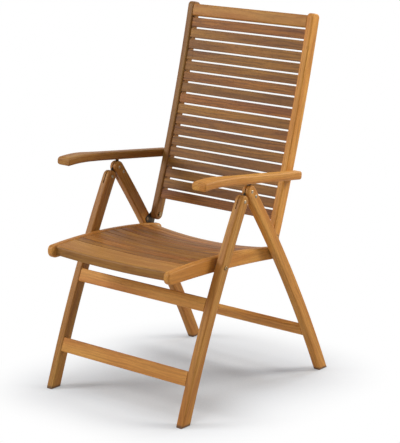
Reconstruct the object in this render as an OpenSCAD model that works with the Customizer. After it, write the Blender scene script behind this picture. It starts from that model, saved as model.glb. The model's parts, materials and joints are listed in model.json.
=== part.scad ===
// Folding reclining garden chair: bowed legs, a slatted seat and a high slatted back, in oiled hardwood.
// Sizes are millimetres. The sitter faces -Y, +X is the viewer's right from the front, and +Z is up.
// Side-view points are [y, z] from a reference line on the floor under the seat.
// Distances "along" a leg or a stile run on its bowed centre line, up from its lower end.

/* [Legs] */
// Width over the outsides of the legs
frame_w = 540; // [480:5:600]
// Thickness of a leg from side to side
leg_t = 26; // [22:1:30]
// Depth of a front leg in the side view
front_leg_d = 35; // [30:1:40]
// Depth of a rear leg in the side view
rear_leg_d = 36; // [30:1:42]
// Distance of the front feet in front of the reference line
front_foot_y = 399; // [370:1:430]
// Distance of the rear feet behind the reference line
rear_foot_y = 267; // [240:1:300]
// Distance of the rear legs' top rivet in front of the reference line
rear_top_y = 107; // [95:1:120]
// Height of the rear legs' top rivet
rear_top_z = 634; // [615:1:650]
// Bow of a front leg, to the front
front_leg_bow = 12.3; // [6:0.1:18]
// Bow of a rear leg, to the rear
rear_leg_bow = 15.8; // [8:0.1:22]
// Gap between the folded front and rear legs at their tops
leg_fold_gap = 5; // [3:0.5:8]

/* [Stretchers] */
// Thickness of a stretcher
stretcher_t = 17; // [12:1:22]
// Height of the lower front stretcher
lower_stretcher_h = 43; // [30:1:55]
// Height of the upper front stretcher
upper_stretcher_h = 40; // [30:1:50]
// Height of the rear stretcher
rear_stretcher_h = 37; // [28:1:50]
// Distance of the lower front stretcher along the front leg
lower_stretcher_at = 134; // [100:1:180]
// Distance of the upper front stretcher along the front leg
upper_stretcher_at = 350; // [320:1:375]
// Distance of the rear stretcher along the rear leg
rear_stretcher_at = 165; // [120:1:220]
// Setback of a stretcher from the leg's front face
stretcher_setback = 1; // [0:0.5:4]

/* [Apex plate] */
// Thickness of the steel plate that joins a front leg to a rear leg
plate_t = 3; // [2:0.5:4]
// Distance of the second rivet below the top rivet, along the rear leg
plate_rivet_gap = 24; // [18:1:32]
// Distance of the second rivet behind the rear leg's centre line
plate_rivet_out = 5; // [0:0.5:8]
// Radius of a rivet's shank
rivet_r = 3; // [2:0.5:4]
// Radius of a rivet's head
rivet_head_r = 5; // [4.5:0.5:7]
// Height of a rivet's head
rivet_head_h = 1.4; // [1:0.1:2]
// Radius of the rest pin in the plate's ear, which the armrest's rack rests over
rest_pin_r = 3; // [2:0.5:3.5]

/* [Seat] */
// Gap between a seat rail and a leg
seat_gap = 8.2; // [5:0.1:12]
// Thickness of a seat rail from side to side
rail_t = 21.7; // [18:0.1:26]
// Height of the seat rails' crown above the floor
seat_h = 460; // [440:1:480]
// Length of a seat rail
seat_l = 491; // [478:1:508]
// Length of a seat rail behind its pivot
seat_tail = 22.1; // [18:0.1:28]
// Distance of the crown in front of the seat's pivot
seat_crown_out = 318.9; // [270:5:360]
// Radius of the rails' top edge
seat_curve_r = 2000; // [1600:50:3000]
// Height of a rail, from its crown down to its lowest stretch of underside
rail_h = 42.5; // [38:0.5:48]
// Distance of that stretch in front of the seat's pivot
rail_belly_out = 408.9; // [360:5:450]
// Radius of the rails' underside
rail_under_r = 4100; // [3500:50:6000]
// Depth of the wide front slat, from the front face to its rear edge
front_slat_w = 80; // [60:1:100]
// Height of the front slat's front face
front_slat_h = 28.5; // [24:0.5:34]
// Setback of the front slat behind the rails' front end
front_slat_back = 15; // [8:1:25]
// Thickness of the front slat's upright part
front_apron_t = 18; // [14:1:24]
// Number of equal slats behind the front slat
seat_slats = 11; // [8:1:11]
// Thickness of a seat slat
seat_slat_t = 13; // [9:0.5:15]
// Gap between two seat slats
seat_slat_gap = 4; // [2:0.5:8]
// Distance of the last slat's rear edge in front of the rails' rear end
seat_slats_inset = 34; // [31:1:48]
// Drop of the slats' ends below the rails' top edge
seat_slat_drop = 2; // [0:0.5:4]
// Dish of the front slat at the middle
front_dish = 5.5; // [0:0.5:10]
// Dish of the rearmost slat at the middle
rear_dish = 15; // [5:0.5:18]

/* [Seat pivot and catch] */
// Drop of the seat's pivot below the rails' crown
seat_pivot_drop = 36.8; // [34:0.1:38]
// Drop of the seat's catch pins below the rails' crown
catch_drop = 27.3; // [24:0.1:30]
// Radius of the seat's pivot bolt
seat_bolt_r = 4; // [3:0.5:5]
// Radius of the catch pins
catch_r = 4; // [3:0.5:5]
// Lean of the catch notch's front wall from upright
notch_front_lean = 12; // [5:1:20]
// Lean of the catch notch's rear wall from upright
notch_rear_lean = 46; // [38:1:55]

/* [Back] */
// Gap between a stile and the steel bracket beside it
stile_gap = 0.8; // [0.5:0.1:2]
// Thickness of a stile from side to side
stile_t = 23.3; // [20:0.1:26]
// Depth of a stile in the side view
stile_d = 36; // [32:1:37]
// Distance of the back's pivot above the seat's pivot, along the rear leg
back_pivot_up = 25.6; // [25:0.1:30]
// Distance of the back's pivot behind the rear leg's centre line
back_pivot_out = 31.4; // [31:0.1:33]
// Length of a stile from its pivot to its top, along the straight line
stile_l = 662; // [645:1:690]
// Lean of a stile behind upright
stile_lean = 16; // [12:0.1:20]
// Bow of a stile, to the rear
stile_bow = 9.6; // [5:0.1:14]
// Radius of the stile's rounded top corners
stile_top_r = 12; // [6:1:15]
// Number of slats in the back
back_slats = 17; // [12:1:17]
// Distance from one back slat to the next
back_pitch = 34.04; // [33:0.02:36]
// Gap between two back slats
back_gap = 5; // [3:0.5:9]
// Thickness of a back slat
back_slat_t = 10; // [6:0.5:10]
// Distance of the lowest gap's middle from the pivot, along the stile
first_gap_at = 82.5; // [78:0.5:90]
// Height of the top rail
top_rail_h = 37.5; // [30:0.5:39]
// Thickness of the top rail
top_rail_t = 20; // [14:1:24]
// Setback of the slats behind the stiles' front
back_setback = 5; // [1:0.5:5]
// Setback of the top rail behind the stiles' front
top_rail_setback = 1.5; // [0:0.5:4]

/* [Back bracket] */
// Thickness of the steel bracket that carries the back's pivot
bracket_t = 2; // [1.5:0.25:2.25]
// Distance of the bracket's screw above the back's pivot, along the leg
bracket_screw_up = 4; // [0:1:10]
// Radius of the back's pivot bolt
back_bolt_r = 4; // [3:0.5:5]

/* [Armrests] */
// Height of the rest pin, and the armrest over it, above the legs' top rivet
pin_rise = 26.92; // [25:0.1:32]
// Distance of the armrest's hinge behind the stile's centre line
arm_hinge_out = 4; // [4:0.5:8]
// Length of an armrest from its hinge to its nose
arm_l = 450; // [420:1:480]
// Length of an armrest behind its hinge
arm_tail = 13.5; // [10:0.5:20]
// Thickness of an armrest
arm_t = 25; // [22:1:30]
// Width of an armrest's body
arm_w = 32; // [28:1:38]
// Width of an armrest's nose
arm_nose_w = 51; // [40:1:56]
// Overhang of the nose past the body on the inside
arm_nose_in = 9.5; // [4:0.5:12]
// Gap between a stile and its armrest
arm_gap = 2.3; // [1.5:0.1:4]
// Slope of an armrest, up to the front
arm_tilt = 6.56; // [3:0.01:10]
// Length of the drooping front part
arm_droop_l = 100; // [60:1:140]
// Radius of the droop
arm_droop_r = 500; // [400:10:900]
// Length of the wide nose
arm_nose_l = 60; // [40:1:80]
// Length of the taper from the nose to the body
arm_taper_l = 110; // [60:1:150]
// Radius of the armrest's hinge bolt
arm_bolt_r = 4; // [3:0.5:5]

/* [Racks] */
// Number of notches in a rack
notch_count = 5; // [3:1:5]
// Distance from one notch to the next
notch_pitch = 20.8; // [18:0.1:21]
// Thickness of a rack's folded steel
rack_t = 1.5; // [1:0.1:2]
// Height of a rack's teeth
tooth_h = 4; // [2.5:0.5:5]
// Depth of the rest pin's centre inside the armrest's underside
pin_depth = 3.5; // [3:0.1:4.5]

/* [Clearances] */
// Radial clearance of a shaft that turns in its hole
run_gap = 0.08; // [0.03:0.01:0.1]
// Gap between faces that slide past each other
slide_gap = 0.3; // [0.2:0.05:0.5]

/* [Hidden] */

// Fineness of round parts and of hulled circles, and the straight steps along a bow, an end and a dish
$fn = 48;
hull_fn = 32;
bow_steps = 14;
end_steps = 8;
dish_steps = 16;
// How far a cutter runs past what it cuts
over = 1;

// A bowed bar is [centre, radius, lower angle, upper angle, side, depth]; side is 1 where it bows to the rear
function bow_radius(chord, bow) = (chord * chord / 4 + bow * bow) / (2 * bow);
function bow_normal(a, b, side) = let (u = (b - a) / norm(b - a)) side * [u.y, -u.x];
function bow_centre(a, b, bow, side) =
    (a + b) / 2 - bow_normal(a, b, side) * (bow_radius(norm(b - a), bow) - bow);
function angle_of(v) = atan2(v.y, v.x);
function bowed_bar(a, b, bow, side, depth) = let (c = bow_centre(a, b, bow, side))
    [c, bow_radius(norm(b - a), bow), angle_of(a - c), angle_of(b - c), side, depth];
function bar_angle(bar, along) = bar[2] + bar[4] * along / bar[1] * 180 / PI;
function bar_length(bar) = abs(bar[3] - bar[2]) * PI / 180 * bar[1];
function polar(r, a) = r * [cos(a), sin(a)];
// Point on a bar: off is the distance from its centre line, towards the outside of the bow
function bar_point(bar, along, off = 0) = bar[0] + polar(bar[1] + off, bar_angle(bar, along));
function height_angle(bar, z, off) = let (a = asin((z - bar[0].y) / (bar[1] + off))) bar[4] > 0 ? a : 180 - a;
function along_at_height(bar, z) = bar[4] * (height_angle(bar, z, 0) - bar[2]) * PI / 180 * bar[1];
// Where a line from inside a circle, along the unit vector d, leaves the circle
function leave_circle(p, d, c, r) = let (w = p - c, b = w * d) p + (sqrt(b * b - w * w + r * r) - b) * d;

function arc_points(c, r, a0, a1, steps) = [for (i = [0:steps]) c + polar(r, a0 + (a1 - a0) * i / steps)];
// End of a bar at an angle, with rounded corners, from its outer edge to its inner edge
function bar_end(bar, a, r) = let (
    turn = 90 * bar[4],
    tip = bar[0] + polar(bar[1], a),
    reach = bar[5] / 2 - r)
    concat(arc_points(tip + polar(reach, a), r, a, a + turn, end_steps),
           arc_points(tip - polar(reach, a), r, a + turn, a + 2 * turn, end_steps));
function bar_edge(bar, off, a0, a1) = arc_points(bar[0], bar[1] + off, a0, a1, bow_steps);
// Outline of a leg: cut flat at the floor and round at the top
function leg_outline(bar) = concat(
    bar_edge(bar, bar[5] / 2, height_angle(bar, 0, bar[5] / 2), bar[3]),
    bar_end(bar, bar[3], bar[5] / 2),
    bar_edge(bar, -bar[5] / 2, bar[3], height_angle(bar, 0, -bar[5] / 2)));

// Side-view skeleton
rear_top = [-rear_top_y, rear_top_z];
rear_bar = bowed_bar([rear_foot_y, 0], rear_top, rear_leg_bow, 1, rear_leg_d);
rear_l = bar_length(rear_bar);
front_top = bar_point(rear_bar, rear_l, -(front_leg_d + rear_leg_d) / 2 - leg_fold_gap);
front_bar = bowed_bar([-front_foot_y, 0], front_top, front_leg_bow, -1, front_leg_d);
plate_low = bar_point(rear_bar, rear_l - plate_rivet_gap, plate_rivet_out);
seat_pivot_at = along_at_height(rear_bar, seat_h - seat_pivot_drop);
seat_pivot = bar_point(rear_bar, seat_pivot_at);
catch_pin = bar_point(front_bar, along_at_height(front_bar, seat_h - catch_drop));
back_pivot_at = seat_pivot_at + back_pivot_up;
back_pivot = bar_point(rear_bar, back_pivot_at, back_pivot_out);
stile_top = back_pivot + stile_l * [sin(stile_lean), cos(stile_lean)];
stile_bar = bowed_bar(back_pivot, stile_top, stile_bow, 1, stile_d);

// The armrest lies on the rest pin, let into its underside, and its hinge is where its middle meets the stile
arm_dir = [-cos(arm_tilt), sin(arm_tilt)];
arm_up = [sin(arm_tilt), cos(arm_tilt)];
rest_pin = rear_top + pin_rise * arm_up;
pin_h = -arm_t / 2 + pin_depth;
arm_hinge = leave_circle(rest_pin - pin_h * arm_up, -arm_dir, stile_bar[0], stile_bar[1] + arm_hinge_out);
pin_reach = (rest_pin - arm_hinge) * arm_dir;

// Places across the chair, measured from its middle
leg_out = frame_w / 2;
leg_in = leg_out - leg_t;
leg_mid = leg_out - leg_t / 2;
rail_out = leg_in - seat_gap;
rail_in = rail_out - rail_t;
stile_out = leg_in - bracket_t - stile_gap;
stile_in = stile_out - stile_t;
arm_in = stile_out + arm_gap;

// The middle of the chair's outline on the floor is the origin
seat_rear_y = seat_pivot.x + seat_tail;
seat_front_y = seat_rear_y - seat_l;
rear_edge_r = rear_bar[1] + rear_leg_d / 2;
rear_edge_y = rear_bar[0].x + polar(rear_edge_r, height_angle(rear_bar, 0, rear_leg_d / 2)).x;
y_shift = -(seat_front_y + rear_edge_y) / 2;

wood_colour = [0.66, 0.42, 0.22];
dark_wood_colour = [0.5, 0.31, 0.18];
steel_colour = [0.45, 0.44, 0.42];

// Extrudes a side view from x0 to x1 across the chair
module across(x0, x1) {
    translate([x0, y_shift, 0]) rotate([90, 0, 90]) linear_extrude(x1 - x0) children();
}
// A round rod, or the cutter of its hole, across the chair
module rod(p, r, x0, x1) {
    translate([x0, p.x + y_shift, p.y]) rotate([0, 90, 0]) cylinder(h = x1 - x0, r = r);
}
// The left-hand copy of a right-hand piece
module left_of() {
    mirror([1, 0, 0]) children();
}
module both_sides() {
    children();
    left_of() children();
}
// Places a piece at a point along a bar: its X is across, its Y is outwards and its Z runs up the bar
module on_bar(bar, along) {
    p = bar_point(bar, along);
    a = bar_angle(bar, along);
    lean = bar[4] > 0 ? a : a - 180;
    translate([0, p.x + y_shift, p.y]) rotate([lean, 0, 0]) children();
}
module centred_box(x0, x1, y0, y1, h) {
    translate([x0, y0, -h / 2]) cube([x1 - x0, y1 - y0, h]);
}

// Joinery: a slat or stretcher ends in tenons that fill mortises of the same section
tenon_l = 10;
tenon_shoulder = 3;
mortise_bottom = 1;
// A straight bar between two uprights, from y0 to y1 in depth
module barefaced_rail(half_w, y0, y1, h) {
    centred_box(-half_w, half_w, y0, y1, h);
    centred_box(-half_w - tenon_l, half_w + tenon_l, y0 + tenon_shoulder, y1 - tenon_shoulder,
                h - 2 * tenon_shoulder);
}
module mortise(half_w, y0, y1, h) {
    centred_box(half_w - over, half_w + tenon_l + mortise_bottom, y0 + tenon_shoulder, y1 - tenon_shoulder,
                h - 2 * tenon_shoulder);
}

// Stretchers: depth limits in the frame of on_bar, whose Y points to the rear on both legs
front_stretcher_y = -front_leg_d / 2 + stretcher_setback;
rear_stretcher_y = -rear_leg_d / 2 + stretcher_setback;
module lower_stretcher_mortise() {
    on_bar(front_bar, lower_stretcher_at)
        mortise(leg_in, front_stretcher_y, front_stretcher_y + stretcher_t, lower_stretcher_h);
}
module upper_stretcher_mortise() {
    on_bar(front_bar, upper_stretcher_at)
        mortise(leg_in, front_stretcher_y, front_stretcher_y + stretcher_t, upper_stretcher_h);
}
module rear_stretcher_mortise() {
    on_bar(rear_bar, rear_stretcher_at)
        mortise(leg_in, rear_stretcher_y, rear_stretcher_y + stretcher_t, rear_stretcher_h);
}
module front_stretcher_lower() {
    color(wood_colour) on_bar(front_bar, lower_stretcher_at)
        barefaced_rail(leg_in, front_stretcher_y, front_stretcher_y + stretcher_t, lower_stretcher_h);
}
module front_stretcher_upper() {
    color(wood_colour) on_bar(front_bar, upper_stretcher_at)
        barefaced_rail(leg_in, front_stretcher_y, front_stretcher_y + stretcher_t, upper_stretcher_h);
}
module rear_stretcher() {
    color(wood_colour) on_bar(rear_bar, rear_stretcher_at)
        barefaced_rail(leg_in, rear_stretcher_y, rear_stretcher_y + stretcher_t, rear_stretcher_h);
}

// Apex plate: let into slots in both legs, riveted to the rear leg and turning on the front leg's rivet
// Radii of the plate's outline round the top, low and front rivets and the rest pin, and of the ear's foot
plate_top_r = rivet_r + 9;
plate_low_r = rivet_r + 5;
plate_front_r = rivet_r + 7;
ear_r = rest_pin_r + 2.5;
ear_foot_r = plate_low_r;
plate_half = plate_t / 2;
// Depth of the slots for the plate, down each leg from its top rivet
front_slot_l = 28;
rear_slot_l = plate_rivet_gap + 16;
module plate_link(a, ra, b, rb) {
    hull() {
        translate(a) circle(r = ra, $fn = hull_fn);
        translate(b) circle(r = rb, $fn = hull_fn);
    }
}
module apex_plate() {
    color(steel_colour) difference() {
        across(leg_mid - plate_half, leg_mid + plate_half) {
            plate_link(front_top, plate_front_r, rear_top, plate_top_r);
            plate_link(rear_top, plate_top_r, plate_low, plate_low_r);
            plate_link(rear_top, ear_foot_r, rest_pin, ear_r);
        }
        rod(front_top, rivet_r, leg_in, leg_out);
        rod(rear_top, rivet_r, leg_in, leg_out);
        rod(plate_low, rivet_r, leg_in, leg_out);
        rod(rest_pin, rest_pin_r, leg_in, leg_out);
    }
}
module apex_plate_right() {
    apex_plate();
}
module apex_plate_left() {
    left_of() apex_plate();
}
// A domed rivet through a leg, with gap between its heads and the leg
module rivet(p, gap) {
    rod(p, rivet_r, leg_in - gap, leg_out + gap);
    for (side = [-1, 1])
        translate([leg_mid + side * (leg_t / 2 + gap), p.x + y_shift, p.y])
            rotate([0, side * 90, 0]) domed_head(rivet_head_r, rivet_head_h);
}
module domed_head(r, h) {
    rotate_extrude() polygon([[0, 0], [r, 0], [r, 0.3 * h], [0.75 * r, 0.8 * h], [0.4 * r, h], [0, h]]);
}
module plate_rivets() {
    color(steel_colour) both_sides() {
        rivet(rear_top, 0);
        rivet(plate_low, 0);
    }
}
module front_pivot_rivets() {
    color(steel_colour) both_sides() rivet(front_top, slide_gap);
}

// Racks: the rest pin crosses the channel of a rack, inside the armrest's groove
channel_gap = 3;
pin_proud = 1.5;
groove_gap = 1;
channel_half = plate_half + channel_gap;
rack_half = channel_half + rack_t;
pin_half = rack_half + pin_proud;
groove_half = pin_half + groove_gap;
module rest_pins() {
    color(steel_colour) both_sides() rod(rest_pin, rest_pin_r, leg_mid - pin_half, leg_mid + pin_half);
}

// Rear legs
slot_extra = 0.15;
seat_bolt_bury = 18;
screw_r = 2.2;
screw_head_r = 4.5;
screw_bury = 18;
bracket_screw = bar_point(rear_bar, back_pivot_at + bracket_screw_up);
module leg_slot(bar, depth, gap) {
    on_bar(bar, bar_length(bar) - depth)
        translate([leg_mid - plate_half - gap, -bar[5], 0])
            cube([plate_t + 2 * gap, 2 * bar[5], depth + bar[5]]);
}
module rear_leg() {
    color(wood_colour) difference() {
        across(leg_in, leg_out) polygon(leg_outline(rear_bar));
        leg_slot(rear_bar, rear_slot_l, slot_extra);
        rod(rear_top, rivet_r, leg_in - over, leg_out + over);
        rod(plate_low, rivet_r, leg_in - over, leg_out + over);
        rod(seat_pivot, seat_bolt_r, leg_in - over, leg_in + seat_bolt_bury);
        rod(bracket_screw, screw_r, leg_in - over, leg_in + screw_bury);
        rear_stretcher_mortise();
    }
}
module rear_leg_right() {
    rear_leg();
}
module rear_leg_left() {
    left_of() rear_leg();
}

// Heads, spacers and nuts, and how far they reach past the shank
bolt_head_h = 4;
pivot_head_edge = 3.6;
catch_head_edge = 2;
arm_head_edge = 2.4;
spacer_edge = 4;
arm_washer_edge = 5;
nut_edge = 3;
nut_h = 4.5;
module bevelled_head(r, h) {
    rotate_extrude() polygon([[0, 0], [r, 0], [r, 0.6 * h], [0.8 * r, h], [0, h]]);
}
module bolt_head(p, x, r, dir) {
    translate([x, p.x + y_shift, p.y]) rotate([0, dir * 90, 0]) bevelled_head(r, bolt_head_h);
}
module spacer(p, hole_r, r, end) {
    difference() {
        rod(p, r, rail_out + slide_gap, end);
        rod(p, hole_r, rail_out, end + over);
    }
}

// Seat pivot: a bolt from inside the rail into the leg, with a spacer tube between rail and bracket
module seat_pivot_bolts() {
    color(steel_colour) both_sides() {
        rod(seat_pivot, seat_bolt_r, rail_in - slide_gap, leg_in + seat_bolt_bury);
        bolt_head(seat_pivot, rail_in - slide_gap, seat_bolt_r + pivot_head_edge, -1);
    }
}
module seat_spacers() {
    color(steel_colour) both_sides()
        spacer(seat_pivot, seat_bolt_r, seat_bolt_r + spacer_edge, leg_in - bracket_t);
}

// Back bracket: on the inside of the rear leg, held by the seat's bolt and a screw, with the back's pivot
bracket_pivot_r = back_bolt_r + 7;
bracket_foot_r = seat_bolt_r + 8;
bracket_screw_r = screw_head_r + 3.5;
module back_bracket() {
    color(steel_colour) difference() {
        across(leg_in - bracket_t, leg_in) hull() {
            translate(back_pivot) circle(r = bracket_pivot_r, $fn = hull_fn);
            translate(seat_pivot) circle(r = bracket_foot_r, $fn = hull_fn);
            translate(bracket_screw) circle(r = bracket_screw_r, $fn = hull_fn);
        }
        rod(back_pivot, back_bolt_r + run_gap, leg_in - bracket_t - over, leg_in + over);
        rod(seat_pivot, seat_bolt_r, leg_in - bracket_t - over, leg_in + over);
        rod(bracket_screw, screw_head_r, leg_in - bracket_t - over, leg_in + over);
    }
}
module back_bracket_right() {
    back_bracket();
}
module back_bracket_left() {
    left_of() back_bracket();
}
module bracket_screws() {
    color(steel_colour) both_sides() {
        rod(bracket_screw, screw_head_r, leg_in - bracket_t, leg_in);
        rod(bracket_screw, screw_r, leg_in, leg_in + screw_bury);
    }
}

// Front legs, with the pins that the seat's notches drop over
module front_leg() {
    color(wood_colour) difference() {
        across(leg_in, leg_out) polygon(leg_outline(front_bar));
        leg_slot(front_bar, front_slot_l, slide_gap);
        rod(front_top, rivet_r + run_gap, leg_in - over, leg_out + over);
        rod(catch_pin, catch_r, leg_in - over, leg_out + over);
        lower_stretcher_mortise();
        upper_stretcher_mortise();
    }
}
module front_leg_right() {
    front_leg();
}
module front_leg_left() {
    left_of() front_leg();
}
module seat_catch_pins() {
    color(steel_colour) both_sides() {
        rod(catch_pin, catch_r, rail_in, leg_out);
        bolt_head(catch_pin, leg_out, catch_r + catch_head_edge, 1);
        spacer(catch_pin, catch_r, catch_r + spacer_edge, leg_in);
    }
}

// Seat rails
rail_nose_r = 14;
rail_chin_r = 18;
rail_tail_r = 17;
seat_crown_y = seat_pivot.x - seat_crown_out;
rail_belly_y = seat_pivot.x - rail_belly_out;
function rail_top_z(y) = seat_h - pow(y - seat_crown_y, 2) / (2 * seat_curve_r);
function rail_under(y) = seat_h - rail_h - pow(y - rail_belly_y, 2) / (2 * rail_under_r);
rail_nose_y = seat_front_y + rail_nose_r;
rail_chin_y = seat_front_y + rail_chin_r;
rail_tail_y = seat_rear_y - rail_tail_r;
function rail_ys(y0) = [for (i = [0:bow_steps]) y0 + (rail_tail_y - y0) * i / bow_steps];
function rail_outline() = let (under = rail_ys(rail_chin_y)) concat(
    [for (y = rail_ys(rail_nose_y)) [y, rail_top_z(y)]],
    arc_points([rail_tail_y, rail_top_z(rail_tail_y) - rail_tail_r], rail_tail_r, 90, 0, end_steps),
    arc_points([rail_tail_y, rail_under(rail_tail_y) + rail_tail_r], rail_tail_r, 0, -90, end_steps),
    [for (i = [bow_steps:-1:0]) [under[i], rail_under(under[i])]],
    arc_points([rail_chin_y, rail_under(rail_chin_y) + rail_chin_r], rail_chin_r, -90, -180, end_steps),
    arc_points([rail_nose_y, rail_top_z(rail_nose_y) - rail_nose_r], rail_nose_r, 180, 90, end_steps));
// The notch drops over the catch pin and opens down and to the rear
notch_r = catch_r + slide_gap;
notch_drop = 40;
function notch_outline() = let (
    front = catch_pin + polar(notch_r, 180 + notch_front_lean),
    rear = catch_pin + polar(notch_r, notch_rear_lean))
    [catch_pin, front, front + notch_drop * [tan(notch_front_lean), -1],
     rear + notch_drop * [tan(notch_rear_lean), -1], rear];
module seat_rail() {
    color(wood_colour) difference() {
        across(rail_in, rail_out) polygon(rail_outline());
        rod(catch_pin, notch_r, rail_in - over, rail_out + over);
        across(rail_in - over, rail_out + over) polygon(notch_outline());
        rod(seat_pivot, seat_bolt_r + run_gap, rail_in - over, rail_out + over);
        front_slat_tenon(mortise_bottom);
        for (i = [1:seat_slats]) seat_slat_tenon(i, mortise_bottom);
    }
}
module seat_rail_right() {
    seat_rail();
}
module seat_rail_left() {
    left_of() seat_rail();
}

// Seat slats: dished strips between the rails, each tilted to the rails' top edge
slats_front = seat_front_y + front_slat_back + front_slat_w;
slat_pitch = (seat_rear_y - seat_slats_inset - slats_front) / seat_slats;
slat_w = slat_pitch - seat_slat_gap;
function slat_y(i) = slats_front + (i - 0.5) * slat_pitch + seat_slat_gap / 2;
function slat_dish(i) = front_dish + (rear_dish - front_dish) * i / seat_slats;
function dish_z(x, dish) = -dish * (1 - pow(x / rail_in, 2));
function dish_x(i) = rail_in * (2 * i / dish_steps - 1);
// Puts a piece on the line of the slats' ends: its Y runs back along the seat and its Z is up
module on_seat(y) {
    slope = -atan((y - seat_crown_y) / seat_curve_r);
    translate([0, y + y_shift, rail_top_z(y) - seat_slat_drop]) rotate([slope, 0, 0]) children();
}
module dished_strip(y0, y1, dish, t) {
    translate([0, y1, 0]) rotate([90, 0, 0]) linear_extrude(y1 - y0) polygon(concat(
        [for (i = [0:dish_steps]) [dish_x(i), dish_z(dish_x(i), dish)]],
        [for (i = [dish_steps:-1:0]) [dish_x(i), dish_z(dish_x(i), dish) - t]]));
}
seat_tenon_t = 6;
seat_tenon_inset = 4;
// Tenon at the right-hand end, and with a deeper bottom the cutter of its mortise
module seat_tenon(y0, y1, t, deeper) {
    translate([rail_in - over, y0 + seat_tenon_inset, -(t + seat_tenon_t) / 2])
        cube([over + tenon_l + deeper, y1 - y0 - 2 * seat_tenon_inset, seat_tenon_t]);
}
module seat_slat_tenon(i, deeper) {
    on_seat(slat_y(i)) seat_tenon(-slat_w / 2, slat_w / 2, seat_slat_t, deeper);
}
module seat_slat(i) {
    if (i <= seat_slats) color(dark_wood_colour) {
        on_seat(slat_y(i)) dished_strip(-slat_w / 2, slat_w / 2, slat_dish(i), seat_slat_t);
        both_sides() seat_slat_tenon(i, 0);
    }
}
front_slat_y = slats_front - front_slat_w / 2;
module front_slat_tenon(deeper) {
    on_seat(front_slat_y) seat_tenon(-front_slat_w / 2, front_slat_w / 2, seat_slat_t, deeper);
}
module seat_front_slat() {
    color(wood_colour) {
        on_seat(front_slat_y) {
            dished_strip(-front_slat_w / 2, front_slat_w / 2, front_dish, seat_slat_t);
            dished_strip(-front_slat_w / 2, -front_slat_w / 2 + front_apron_t, front_dish, front_slat_h);
        }
        both_sides() front_slat_tenon(0);
    }
}
module seat_slat_1() { seat_slat(1); }
module seat_slat_2() { seat_slat(2); }
module seat_slat_3() { seat_slat(3); }
module seat_slat_4() { seat_slat(4); }
module seat_slat_5() { seat_slat(5); }
module seat_slat_6() { seat_slat(6); }
module seat_slat_7() { seat_slat(7); }
module seat_slat_8() { seat_slat(8); }
module seat_slat_9() { seat_slat(9); }
module seat_slat_10() { seat_slat(10); }
module seat_slat_11() { seat_slat(11); }

// Back pivot: a bolt through the bracket and the stile, with a nut on the inside
module back_pivot_bolts() {
    color(steel_colour) both_sides() {
        rod(back_pivot, back_bolt_r, stile_in - slide_gap, leg_in + slide_gap);
        bolt_head(back_pivot, leg_in + slide_gap, back_bolt_r + pivot_head_edge, 1);
        translate([stile_in - slide_gap - nut_h, back_pivot.x + y_shift, back_pivot.y])
            rotate([0, 90, 0]) cylinder(h = nut_h, r = back_bolt_r + nut_edge, $fn = 6);
    }
}

// Stiles
function stile_outline() = concat(
    bar_edge(stile_bar, stile_d / 2, stile_bar[2], stile_bar[3]),
    bar_end(stile_bar, stile_bar[3], stile_top_r),
    bar_edge(stile_bar, -stile_d / 2, stile_bar[3], stile_bar[2]),
    [for (p = bar_end(stile_bar, stile_bar[2], stile_d / 2)) 2 * bar_point(stile_bar, 0) - p]);
module stile() {
    color(wood_colour) difference() {
        across(stile_in, stile_out) polygon(stile_outline());
        rod(back_pivot, back_bolt_r + run_gap, stile_in - over, stile_out + over);
        rod(arm_hinge, arm_bolt_r + run_gap, stile_in - over, stile_out + over);
        for (i = [1:back_slats])
            on_bar(stile_bar, back_slat_at(i))
                mortise(stile_in, slat_front, slat_front + back_slat_t, back_slat_h);
        on_bar(stile_bar, top_rail_at)
            mortise(stile_in, top_rail_front, top_rail_front + top_rail_t, top_rail_h);
    }
}
module stile_right() {
    stile();
}
module stile_left() {
    left_of() stile();
}

// Back slats and top rail, between the stiles
slat_front = -stile_d / 2 + back_setback;
top_rail_front = -stile_d / 2 + top_rail_setback;
back_slat_h = back_pitch - back_gap;
function back_slat_at(i) = first_gap_at + (i - 1.5) * back_pitch;
top_rail_at = first_gap_at + (back_slats - 1) * back_pitch + back_gap / 2 + top_rail_h / 2;
module back_slat(i) {
    if (i <= back_slats) color(dark_wood_colour) on_bar(stile_bar, back_slat_at(i))
        barefaced_rail(stile_in, slat_front, slat_front + back_slat_t, back_slat_h);
}
module back_top_rail() {
    color(wood_colour) on_bar(stile_bar, top_rail_at)
        barefaced_rail(stile_in, top_rail_front, top_rail_front + top_rail_t, top_rail_h);
}
module back_slat_1() { back_slat(1); }
module back_slat_2() { back_slat(2); }
module back_slat_3() { back_slat(3); }
module back_slat_4() { back_slat(4); }
module back_slat_5() { back_slat(5); }
module back_slat_6() { back_slat(6); }
module back_slat_7() { back_slat(7); }
module back_slat_8() { back_slat(8); }
module back_slat_9() { back_slat(9); }
module back_slat_10() { back_slat(10); }
module back_slat_11() { back_slat(11); }
module back_slat_12() { back_slat(12); }
module back_slat_13() { back_slat(13); }
module back_slat_14() { back_slat(14); }
module back_slat_15() { back_slat(15); }
module back_slat_16() { back_slat(16); }
module back_slat_17() { back_slat(17); }

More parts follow.
